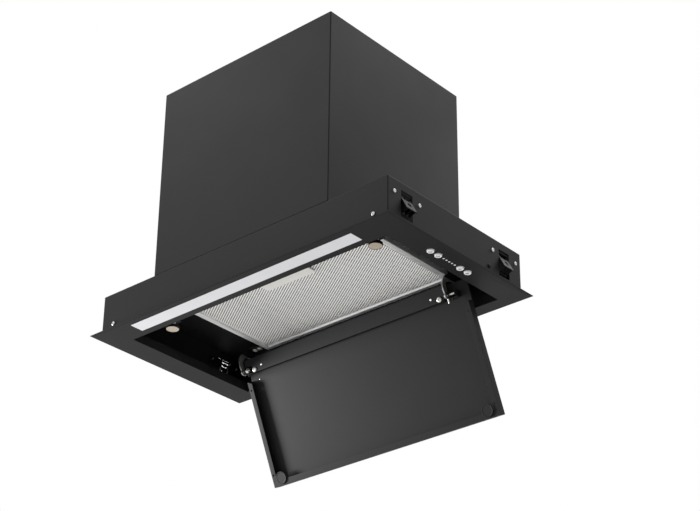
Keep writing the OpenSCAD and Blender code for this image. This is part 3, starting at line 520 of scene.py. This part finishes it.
def filter_frame():
    """A channel with a flat rim, a raised bead and a slope in to the mesh."""
    low, high = corners("filter_frame")
    rear = CHANNEL["rear"]
    body = block("filter_frame_rolled", (low.x, low.y, low.z + CHANNEL["lift"]),
                 (-low.x, rear, high.z))
    combine(body, "UNION", block("rim", (RIM["left"], low.y, low.z),
                                 (RIM["right"], RIM["rear"], low.z + RIM["thick"])))
    pick(body, "faces", lambda at, face: face.normal.z < -0.5 and at.z < low.z + 0.1)
    inset(RIM["flat"])
    inset(BEAD["drop"], BEAD["drop"])
    inset(BEAD["flat"])
    inset(BEAD["slope"], -BEAD["rise"])
    close()
    way = BOLT["half"] + BOLT["clear"]
    combine(body, "DIFFERENCE", block("window", (*WINDOW[0], 0), (*WINDOW[1], 100)),
            block("bolt_way", (-way, low.y - 5, BOLT["low"] - BOLT["clear"]),
                  (way, low.y + 15, high.z - 4.4)))
    rounded(body, 0.3)
    tabs = [body]
    half, end, middle = TABS["half"], high.y - 1, (TABS["low"] + TABS["high"]) / 2
    for x in (-TABS["x"], TABS["x"]):
        tab = block("tab", (x - half, rear - 1, TABS["low"]), (x + half, end, TABS["high"]))
        bar = rod("bar", (x - half, high.y - TABS["bar"], middle),
                  (x + half, high.y - TABS["bar"], middle), TABS["bar"], 20)
        tabs += [rounded(tab, 0.2, 1), rounded(bar, 0.2, 1)]
    fit(gather("filter_frame_rolled", *tabs), "filter", FRAME_ALU, "aluminium", "filter_frame")


def latch_plate():
    """The pull plate with its core, and the bolt that it draws back."""
    low, high = corners("filter_latch")
    front, back = PLATE["front"], PLATE["back"]
    plate = block("latch_plate", (low.x, front, low.z), (high.x, back, low.z + PLATE["thick"]))
    pick(plate, "edges", lambda at, edge: upright(edge))
    bevel(PLATE["corner"], 6)
    close()
    rounded(plate, 0.35)
    core = block("core", (-CORE["half"], front + CORE["front"], low.z + 1.4),
                 (CORE["half"], back - CORE["back"], BOLT["low"]))
    rounded(core, 0.8)
    fit(gather("latch_plate", plate, core), "latch", ENAMEL, "latch_paint", "filter_latch")
    bolt = block("latch_bolt", (-BOLT["half"], low.y, BOLT["low"]),
                 (BOLT["half"], front + BOLT["back"], high.z))
    pick(bolt, "edges", lambda at, edge: at.y < low.y + 0.1 and at.z < BOLT["low"] + 0.1)
    bevel(BOLT["chamfer"], 2)
    close()
    fit(rounded(bolt, 0.15, 1), "latch", ZINC, "zinc_steel")


# Perimeter panel: modelled closed, then swung open about its pivot

EYE = Vector((0, 99, 10.8))
OPENED = math.radians(114)
SWUNG = shift(*EYE) @ Matrix.Rotation(OPENED, 4, "X") @ shift(*-EYE)
PANEL = {"side": 225, "front": -93.5, "rear": 115.5, "base": -1, "top": 11, "wall_end": 81.5}
# Return lips on the walls, how far the side ones slope back at their ends, and the lip that
# stands out behind the rail, with its ends measured from the rail's
LIPS = {"side": 8.5, "front": 10, "slope": 4.5}
REAR_LIP = {"left": 16, "right": 7, "out": 3.6}
LIP_HOLES = {"radius": 1.5, "front": 19.6, "end": 15}
RAIL = {"left": -221, "right": 187, "front": 92.5, "rear": 116}
# The rail's rounded front right corner, the notch in its front left one, and its solid ends
RAIL_CORNER = 9
NOTCH = {"x": 13, "y": 12, "corner": 4}
RAIL_ENDS = {"left": 14, "right": 10}
# Discs that the catches hold: their places, and their dished faces
STRIKE = (205.5, -81.1)
DISC = {"radius": 10, "face": 13, "rim": 1.3, "step": 0.4, "dish": 0.35}


def swung(piece):
    piece.data.transform(SWUNG)
    return piece


def panel_tray():
    """A plate with walls drawn up along its front and sides, and lips turned in from them."""
    side, front, rear, base, top, end = PANEL.values()
    lip_start = front + LIPS["front"]
    bpy.ops.object.select_all(action="DESELECT")
    bpy.ops.mesh.primitive_plane_add(size=1, location=(0, (front + rear) / 2 * MM, base * MM))
    tray = settle("panel_tray_folded", (2 * side * MM, (rear - front) * MM, 1))
    for y in (end, lip_start):
        pick(tray, "faces", lambda at, face: True)
        bpy.ops.mesh.bisect(plane_co=(0, y * MM, 0), plane_no=(0, 1, 0))
        close()
    pick(tray, "edges",
         lambda at, edge: at.y < front + 0.1 or (abs(at.x) > side - 0.1 and at.y < end))
    extrude((0, 0, top - base))
    close()
    pick(tray, "edges", lambda at, edge: at.z > top - 0.1 and at.y < front + 0.1)
    extrude((0, LIPS["front"], 0))
    close()
    for way in (-1, 1):
        pick(tray, "edges",
             lambda at, edge: at.z > top - 0.1 and at.x * way > side - 0.1 and at.y > lip_start)
        extrude((-way * LIPS["side"], 0, 0))
        close()
    pick(tray, "verts",
         lambda at, vert: at.z > top - 0.1 and abs(at.y - end) < 0.1 and abs(at.x) < side - 1)
    move((0, -LIPS["slope"], 0))
    close()
    pick(tray, "verts", lambda at, vert: True)
    bpy.ops.mesh.remove_doubles(threshold=0.01 * MM)
    bpy.ops.mesh.normals_make_consistent(inside=False)
    close()
    plate_up = max(tray.data.polygons, key=lambda face: face.area).normal.z > 0
    modify(tray, "SOLIDIFY", thickness=SHEET * MM, offset=1 if plate_up else -1,
           use_even_offset=True)
    x_places = (LIPS["side"] / 2 - side, side - LIPS["side"] / 2)
    y_places = (front + LIP_HOLES["front"], end - LIP_HOLES["end"])
    holes = [rod("hole", (x, y, top - 6), (x, y, top + 4), LIP_HOLES["radius"], 20)
             for x in x_places for y in y_places]
    combine(tray, "DIFFERENCE", *holes)
    rear_lip = block("rear_lip", (RAIL["left"] + REAR_LIP["left"], rear - 2, base),
                     (RAIL["right"] - REAR_LIP["right"], rear + REAR_LIP["out"], base + SHEET))
    tray = gather("panel_tray_folded", rounded(tray, 0.38), rounded(rear_lip, 0.3))
    fit(swung(tray), "panel", COAT, "black_steel", "panel_tray")


def hinge_rail():
    left, right, front, rear = RAIL.values()
    base, top = PANEL["base"] + SHEET, PANEL["top"]
    rail = block("hinge_rail_folded", (left, front, base), (right, rear, top))
    pick(rail, "edges", lambda at, edge: at.x > right - 0.1 and at.y < front + 0.1)
    bevel(RAIL_CORNER, 8)
    close()
    x, y = left + NOTCH["x"], front + NOTCH["y"]
    notch = block("notch", (left - 5, front - 5, -5), (x, y, 20))
    pick(notch, "edges", lambda at, edge: at.x > x - 0.1 and at.y > y - 0.1)
    bevel(NOTCH["corner"], 6)
    close()
    hollow = block("hollow", (left + RAIL_ENDS["left"], front + SHEET, -5),
                   (right - RAIL_ENDS["right"], rear - SHEET, top - SHEET))
    combine(rail, "DIFFERENCE", notch, hollow)
    rounded(rail, 0.7, 3)
    fit(swung(rail), "panel", COAT, "black_steel", "hinge_rail")


def strikes():
    discs = []
    for way in (-1, 1):
        x, y = way * STRIKE[0], STRIKE[1]
        disc = rod("strike", (x, y, PANEL["top"]), (x, y, DISC["face"]), DISC["radius"], 48)
        pick(disc, "faces", lambda at, face: at.z > DISC["face"] - 0.1)
        inset(DISC["rim"])
        inset(DISC["step"], -DISC["dish"])
        close()
        discs.append(rounded(disc, 0.3))
    fit(swung(gather("strike_discs", *discs)), "panel", COAT, "black_steel", "panel_strikes")


# Hinges: gooseneck arm on the hood, leaf and pin on the panel

HINGES = (-227, 190.5)
NECK_TOP = 40
# Pivot pins and their forged heads, and then the nut on the left pin and the small upright pin
# on the right one, all measured from the middle of their hinge
PIN = {"radius": 1.6, "left": 3, "right": 15}
HEAD = {"radius": 3.2, "seat": 1.3, "face": 3.2}
NUT = {"radius": 4.3, "start": 7, "end": 11.6}
TAIL = {"radius": 1.3, "x": 1, "start": 5, "end": 12.5, "z": 0.4}


def hinge_arms():
    """Each gooseneck: its bent arm, and its foot, which takes the darkened coat as painted shade
    where the arm runs up into the housing.
    """
    for side, x in zip(("left", "right"), HINGES):
        node = f"hinge_arm_{side}"
        # Above NECK_TOP the same arm is given the darkened black coat: painted shade
        for part, finish, keep_low in (("neck", PHOSPHATED, True), ("foot", COAT_PAINTED_SHADE, False)):
            piece = softened(node, 0.28, f"gooseneck_{side}_{part}")
            pick(piece, "faces", lambda at, face: True)
            bpy.ops.mesh.bisect(plane_co=(0, 0, NECK_TOP * MM), plane_no=(0, 0, 1), use_fill=True,
                                clear_outer=keep_low, clear_inner=not keep_low)
            close()
            fit(smooth(piece), "hood", finish, "zinc_steel", *([node] if keep_low else []))


def hinge_leaves():
    fit(softened("hinge_leaves", 0.2), "panel", COAT, "zinc_steel", "hinge_leaves")
    y, z = EYE.yz
    pins = []
    for x in HINGES:
        pin = rod("pin", (x - PIN["left"], y, z), (x + PIN["right"], y, z), PIN["radius"], 24)
        pins.append(rounded(pin, 0.3, 1))
        head = rod("head", (x - HEAD["seat"], y, z), (x - HEAD["face"], y, z), HEAD["radius"], 32)
        pick(head, "faces", lambda at, face: at.x < x - HEAD["face"] + 0.1)
        inset(0.9, 0.3)
        inset(0.7, -0.5)
        close()
        pins.append(rounded(head, 0.15, 1))
    x, z = HINGES[1] + TAIL["x"], z + TAIL["z"]
    tail = rod("tail", (x, y - TAIL["start"], z), (x, y - TAIL["end"], z), TAIL["radius"], 16)
    pins.append(rounded(tail, 0.3, 1))
    x, z = HINGES[0], EYE.z
    nut = rod("nut", (x + NUT["start"], y, z), (x + NUT["end"], y, z), NUT["radius"], 6)
    pins.append(rounded(nut, 0.5))
    fit(swung(gather("pivot_rivets", *pins)), "panel", ZINC, "zinc_steel", "pivot_pins")


# Screws and rivets

# Places of the screws, measured inward from a wall, or from the middle of a clip slot or hinge
CLIP_SCREWS = {"reach": 27.4, "z": 47}
FRONT_SCREWS = {"inward": 26, "z": 14}
BLACK_SCREWS = {"inward": 77, "z": 17}
FOOT_SCREWS = {"steps": (9, 19), "y": 114, "z": 53}
TOWER_SCREWS = {"inward": 8, "rear": 32, "z": 69}
SPIGOT_SCREWS = {"circle": 83.5, "turns": (45, 135, 225, 315)}
RAIL_SCREWS = {"x": (-203, 176), "inward": 4.5}
SHANK = 1.55
# Rivets on the closed panel: x, y and z of the seat, and the head's radius
RIVETS = ((-187, 101.5, 10.9, 1.8), (161, 101.5, 10.9, 1.8), (-207, 81, -0.1, 1.2))


def pan_head(head, height, length):
    """A pan head screw with a cross recess, its seat on z = 0 and its shank below."""
    top = rod("screw", (0, 0, 0), (0, 0, height), head, 32)
    pick(top, "faces", lambda at, face: at.z > height - 0.01)
    inset(head * 0.22, height * 0.35)
    inset(head * 0.28, height * 0.16)
    close()
    long, thin = head * 0.52, head * 0.11
    for turn in (20, 110):
        arm = block("arm", (-long, -thin, height * 0.75), (long, thin, height * 3))
        arm.data.transform(Matrix.Rotation(math.radians(turn), 4, "Z"))
        combine(top, "DIFFERENCE", arm)
    rounded(top, head * 0.06, 1, 45)
    return gather("screw", top, rod("stem", (0, 0, -length), (0, 0, 0.05), SHANK, 16))


def screws():
    """All the screws, each group as one piece."""
    side_x, wall_y = corners("lower_housing")[1].xy
    front_x = side_x - FRONT_SCREWS["inward"]
    tower_x = corners("upper_housing")[1].x - TOWER_SCREWS["inward"]
    spigot_z = corners("top_plate")[1].z + 1.5
    circle, reach = SPIGOT_SCREWS["circle"], CLIP_SCREWS["reach"]
    quarters = [math.radians(turn) for turn in SPIGOT_SCREWS["turns"]]
    # Name, the node it stands for, places, and then the head's radius, its height and the length
    groups = [
        ("clip_bracket_screws", "side_screws",
         [standing((way * side_x, y + step, CLIP_SCREWS["z"]), (way, 0, 0))
          for way in (-1, 1) for y in (-SLOT["y"], SLOT["y"]) for step in (-reach, reach)],
         (2.9, 1.3, 5)),
        ("front_wall_screws", "front_screws",
         [standing((x, -wall_y, FRONT_SCREWS["z"]), (0, -1, 0)) for x in (-front_x, front_x)],
         (3.0, 1.3, 5)),
        ("arm_foot_screws", "hinge_screws",
         [standing((x + step, FOOT_SCREWS["y"], FOOT_SCREWS["z"]), (0, 0, -1))
          for x in HINGES for step in FOOT_SCREWS["steps"]],
         (4.6, 1.3, 6)),
        ("tower_foot_screws", "tower_screws",
         [shift(way * tower_x, end * (wall_y - TOWER_SCREWS["rear"]), TOWER_SCREWS["z"])
          for way in (-1, 1) for end in (-1, 1)],
         (3.2, 1.3, 3)),
        ("spigot_screws", "duct_screws",
         [shift(circle * math.cos(turn), circle * math.sin(turn), spigot_z) for turn in quarters],
         (3.0, 1.2, 3)),
    ]
    for name, node, places, sizes in groups:
        fit(gather(name, *copies(pan_head(*sizes), places)), "hood", ZINC, "zinc_steel", node)
    y, z = wall_y - BLACK_SCREWS["inward"], BLACK_SCREWS["z"]
    black = copies(pan_head(3.2, 1.3, 5),
                   [standing((way * side_x, y, z), (way, 0, 0)) for way in (-1, 1)])
    fit(gather("black_wall_screws", *black), "hood", COAT, "black_steel")
    y, z = RAIL["front"] + RAIL_SCREWS["inward"], PANEL["top"]
    rail = copies(pan_head(4.0, 1.4, 9), [shift(x, y, z) for x in RAIL_SCREWS["x"]])
    fit(swung(gather("rail_cap_screws", *rail)), "panel", ZINC, "zinc_steel", "rail_screws")


def rivets():
    heads = []
    for x, y, z, radius in RIVETS:
        dome = rod("rivet", (x, y, z), (x, y, z + 0.45), radius, 20)
        pick(dome, "faces", lambda at, face: at.z > z + 0.4)
        inset(radius * 0.3, 0.28)
        inset(radius * 0.3, 0.14)
        close()
        heads.append(dome)
    heads = smooth(gather("rivet_heads", *heads), 60)
    fit(swung(heads), "panel", ZINC, "zinc_steel", "rail_rivets")


# Push buttons and catches

# Radii of a button's parts, and the width of its cap's edge and the depth of its dish
BUTTON = {"cap": 5.3, "edge": 1.5, "dish": 0.9, "dome": 3.2, "collar": 7.7, "stem": 2}
# A catch: its face's height, the rim's thickness, radius and edge, and the stem's height
CATCH = {"z": 13.2, "thick": 5, "radius": 10.5, "edge": 0.6, "stem": 13}
# How deep the pole plate sits in its rim, and how far from its edge the dent begins
POLE_PLATE = {"sunk": 0.9, "dent": 6.2}
# Radius of the nuts on a catch's stem, and the heights of the lower and the upper one
STEM_NUTS = {"radius": 5, "low": 3, "high": 2.6}
# Wall of the lamp cover's hollow back, and how deep that is
LAMP_COVER = {"wall": 3, "hollow": 1.2}


def buttons():
    """Each button: a dished cap with a collar and a stem behind it, and a dome in the dish."""
    for number in range(1, 5):
        low, high = corners(f"button_{number}")
        x, y = (low.x + high.x) / 2, (low.y + high.y) / 2
        cap = rod(f"button_{number}_cap", (x, y, 1), (x, y, low.z), BUTTON["cap"], 64)
        pick(cap, "faces", lambda at, face: at.z < low.z + 0.01)
        inset(BUTTON["edge"], 0.1)
        inset(0.2, -BUTTON["dish"])
        close()
        rounded(cap, 0.3, 3)
        dome = rod("dome", (x, y, low.z + 1.2), (x, y, low.z + 0.5), BUTTON["dome"], 40)
        pick(dome, "faces", lambda at, face: at.z < low.z + 0.6)
        inset(1.0, 0.45)
        inset(1.0, 0.15)
        close()
        rounded(dome, 0.15)
        dome.name = f"button_{number}_dome"
        fit(dome, f"button_{number}", ZINC, "silver_cap")
        collar = rod("collar", (x, y, 0.05), (x, y, 1.05), BUTTON["collar"], 48)
        rounded(collar, 0.15, 1)
        stem = rod("stem", (x, y, 0.5), (x, y, high.z), BUTTON["stem"], 24)
        cap = gather(f"button_{number}_cap", cap, collar, stem)
        fit(cap, f"button_{number}", CAP, "silver_cap", f"button_{number}")


def catches():
    """Each catch: a pole plate in a rim, a stem up to its bracket, and two nuts."""
    z, thick, radius, edge, stem_up = CATCH.values()
    plates, rims, stems = [], [], []
    for way in (-1, 1):
        x, y = way * STRIKE[0], STRIKE[1]
        rim = rod("rim", (x, y, z + thick), (x, y, z), radius, 56)
        pick(rim, "faces", lambda at, face: at.z < z + 0.01)
        inset(edge)
        inset(0.1, -POLE_PLATE["sunk"])
        close()
        rims.append(rounded(rim, 0.2))
        stem = rod("stem", (x, y, z + thick - 0.2), (x, y, z + stem_up), 3, 24)
        stems.append(rounded(stem, 0.2, 1))
        for low, high in ((thick, thick + STEM_NUTS["low"]), (stem_up - STEM_NUTS["high"], stem_up)):
            nut = rod("nut", (x, y, z + low), (x, y, z + high), STEM_NUTS["radius"], 6)
            stems.append(rounded(nut, 0.3, 1))
        plate = rod("plate", (x, y, z + 1.6), (x, y, z + 0.1), radius - edge - 0.05, 48)
        pick(plate, "faces", lambda at, face: at.z < z + 0.15)
        inset(POLE_PLATE["dent"])
        inset(0.3, -0.3)
        close()
        plates.append(rounded(plate, 0.3))
    fit(gather("catch_pole_plates", *plates), "hood", POLE, "zinc_steel")
    fit(gather("catch_stems", *stems), "hood", ZINC, "zinc_steel")
    fit(gather("catch_rims", *rims), "hood", COAT, "zinc_steel", "catch_magnets")


def lamp_cover():
    low, high = corners("led_diffuser")
    cover = block("lamp_cover", low, high)
    pick(cover, "faces", lambda at, face: face.normal.z > 0.5)
    inset(LAMP_COVER["wall"])
    inset(0.1, -LAMP_COVER["hollow"])
    close()
    fit(rounded(cover, 0.35), "hood", ACRYLIC, "diffuser", "led_diffuser")


# Cabinet clips: made upright about the pin, then leant out of the slot

CLIP_PIN = (284, 111.3, 44.5)
LEAN = math.radians(-27.5)
CLIP = {"half": 11.4, "face": 2.9, "thick": 1.6, "top": 2.4, "length": 23.6, "heel": -11.6}
EYES = {"radius": 2.9, "bore": 1.55, "long": 4.2}
# Round hole in the tongue, and the grooves between the teeth under its cheeks
TONGUE_HOLE = {"y": 0.8, "z": -12.5, "radius": 3.7}
GROOVES, GROOVE_RADIUS = 5, 1.7
# Half the thickness of a cheek, and the directions in which its back and its foot are cut off
CHEEK = 0.7
BACK_CUT, FOOT_CUT = (-0.93, 0, 0.36), (-0.12, 0, -0.99)


def clip_tongue():
    """A plate with two eyes on the pin, and three toothed cheeks and a bar behind it."""
    half, face, thick, top, length, heel = CLIP.values()
    plate = block("tongue", (face - thick, -half, -length), (face, half, top))
    pick(plate, "edges", lambda at, edge: at.z < 0.1 - length and at.x > face - 0.1)
    bevel(0.5, 2)
    close()
    y, z = TONGUE_HOLE["y"], TONGUE_HOLE["z"]
    combine(plate, "DIFFERENCE",
            rod("hole", (face - 5, y, z), (face + 5, y, z), TONGUE_HOLE["radius"], 40),
            block("spring_notch", (-5, 4.5 - half, -3.4), (face + 5, half - 4.5, 5)))
    shells = [rounded(plate, 0.3)]
    for way in (-1, 1):
        eye = rod("eye", (0, way * half, 0), (0, way * (half - EYES["long"]), 0), EYES["radius"])
        combine(eye, "DIFFERENCE", rod("bore", (0, -20, 0), (0, 20, 0), EYES["bore"], 24))
        shells.append(rounded(eye, 0.2, 1))
    for y in (3.4 - half, 0, half - 3.4):
        cheek = block("cheek", (heel, y - CHEEK, -length - 1.6), (face - 1.5, y + CHEEK, -3.6))
        for point, away in (((-3, 0, -3), BACK_CUT), ((face - thick, 0, -length), FOOT_CUT)):
            pick(cheek, "faces", lambda at, face: True)
            bpy.ops.mesh.bisect(plane_co=Vector(point) * MM, plane_no=away, use_fill=True,
                                clear_outer=True)
            close()
        z = -length - 1.4
        for groove in range(GROOVES):
            x = face - 3.6 + (heel + 2 - face) * groove / GROOVES
            tool = rod("groove", (x, y - 2, z), (x, y + 2, z), GROOVE_RADIUS, 4)
            combine(cheek, "DIFFERENCE", tool)
        shells.append(rounded(cheek, 0.12, 1))
    bar = block("heel_bar", (heel, 3.5 - half, -length - 0.6),
                (heel + thick, half - 3.5, -length + 2))
    shells.append(rounded(bar, 0.3, 1))
    return gather("clip_tongue", *shells)


def clips():
    names, places = [], []
    lean = Matrix.Rotation(LEAN, 4, "Y")
    for side, way in (("right", 1), ("left", -1)):
        for end, along in (("front", -1), ("rear", 1)):
            x, y, z = CLIP_PIN
            names.append(f"clip_{end}_{side}")
            places.append(Matrix.Diagonal((way, 1, 1, 1)) @ shift(x, along * y, z) @ lean)
    for name, tongue in zip(names, copies(clip_tongue(), places)):
        tongue.name = name + "_tongue"
        fit(smooth(tongue), name, NYLON, "black_plastic", name)


lower_housing()
folded_sheets()
filter_frame()
filter_pack()
latch_plate()
panel_tray()
hinge_rail()
strikes()
hinge_arms()
hinge_leaves()
screws()
rivets()
buttons()
catches()
lamp_cover()
clips()


# Studio

FLOOR_Z = -1.6
# Softboxes: place, aim and width in metres, and watts
SOFTBOXES = {
    "front_softbox": ((-1.2, -0.7, 1.4), (0, -0.15, 0.3), 0.7, 4.6),
    "front_high_softbox": ((-0.9, -1.0, 1.5), (0, -0.15, 0.3), 0.7, 2.8),
    "right_high_softbox": ((0.4, 0.4, 0.9), (0.17, 0, 0.25), 0.4, 1.5),
    "right_rear_softbox": ((0.34, 0.55, 0.5), (0.17, 0, 0.25), 0.25, 0.5),
    "panel_softbox": ((-1.0, -0.28, -0.12), (0, 0.15, -0.1), 0.3, 19),
}
# The photo's own view: place in metres, turn in degrees, focal length and sensor in millimetres
CAMERA = {"place": (1.7027, -1.8336, -1.2555), "turn": (118.5415, -0.5056, 41.1285),
          "lens": 95.756, "sensor": 36}


def softbox(name, place, aim, width, power):
    lamp = bpy.data.lights.new(name, "AREA")
    lamp.size = width
    lamp.energy = power
    lit = bpy.data.objects.new(name, lamp)
    bpy.context.collection.objects.link(lit)
    lit.location = place
    lit.visible_camera = False
    lit.rotation_euler = (Vector(aim) - Vector(place)).to_track_quat("-Z", "Y").to_euler()


def studio():
    """A white surround, a pale floor, the softboxes and the camera."""
    scene = bpy.context.scene
    scene.view_settings.view_transform = "Standard"
    world = bpy.data.worlds.new("white_sweep")
    world.use_nodes = True
    sky = world.node_tree.nodes["Background"]
    sky.inputs["Color"].default_value = colour("#ffffff")
    sky.inputs["Strength"].default_value = 1.0
    scene.world = world

    bpy.ops.object.select_all(action="DESELECT")
    bpy.ops.mesh.primitive_plane_add(size=14, location=(0, 0, FLOOR_Z))
    floor = bpy.context.object
    floor.name = "pale_floor"
    floor.data.materials.append(
        pattern_finish("pale_floor_paint", (PATCHES, 400), ("#f1f1ef", "#f6f6f4"), (0.65, 0.75)))

    for name, settings in SOFTBOXES.items():
        softbox(name, *settings)

    view = bpy.data.cameras.new("photo_view")
    view.sensor_width = CAMERA["sensor"]
    view.lens = CAMERA["lens"]
    view.clip_end = 50
    camera = bpy.data.objects.new("photo_view", view)
    bpy.context.collection.objects.link(camera)
    camera.location = CAMERA["place"]
    camera.rotation_euler = [math.radians(turn) for turn in CAMERA["turn"]]
    scene.camera = camera


studio()
